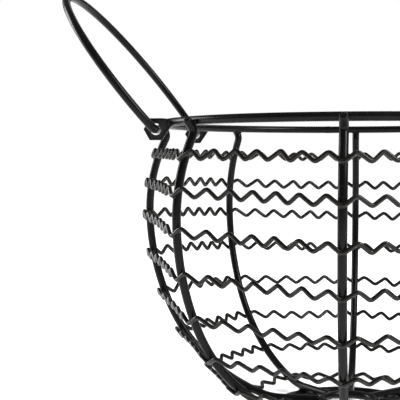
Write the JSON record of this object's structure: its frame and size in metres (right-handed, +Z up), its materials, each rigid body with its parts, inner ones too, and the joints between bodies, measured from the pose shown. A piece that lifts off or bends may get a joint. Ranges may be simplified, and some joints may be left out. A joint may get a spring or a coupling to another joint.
{
  "type": "wire produce basket",
  "caption": "Deep round bowl of black wire with crimped wire rings round bent rod ribs, a rod rim and two loop handles that swing on flat tabs.",
  "frame": {"origin": "centre of the foot ring's underside, on the surface that the basket stands on", "axes": "+Z up along the bowl's axis, +X towards the right-hand handle, +Y towards the back"},
  "size_m": [0.4368, 0.3216, 0.3214],
  "materials": {
    "rod": "satin black powder coat on steel rod",
    "crimped_wire": "satin black powder coat on crimped steel wire"
  },
  "bodies": {
    "basket": {"rim": "rod", "rib_1": "rod", "rib_2": "rod", "rib_3": "rod", "rib_4": "rod", "rib_5": "rod", "rib_6": "rod", "rib_7": "rod", "rib_8": "rod", "wave_ring_1": "crimped_wire", "wave_ring_2": "crimped_wire", "wave_ring_3": "crimped_wire", "wave_ring_4": "crimped_wire", "wave_ring_5": "crimped_wire", "wave_ring_6": "crimped_wire", "wave_ring_7": "crimped_wire", "wave_ring_8": "crimped_wire", "wave_ring_9": "crimped_wire", "hub_ring": "rod", "foot_ring": "rod", "tab_left_front": "rod", "tab_left_rear": "rod", "tab_right_front": "rod", "tab_right_rear": "rod"},
    "left_handle": {"handle_left": "rod"},
    "right_handle": {"handle_right": "rod"}
  },
  "joints": [
    {"name": "left_handle_swing", "type": "hinge", "parent": "basket", "child": "left_handle", "pos_m": [-0.1335, 0, 0.21365], "axis": [0, 1, 0], "range_deg": [-130, 92]},
    {"name": "right_handle_swing", "type": "hinge", "parent": "basket", "child": "right_handle", "pos_m": [0.1335, 0, 0.21365], "axis": [0, -1, 0], "range_deg": [-130, 92]}
  ]
}
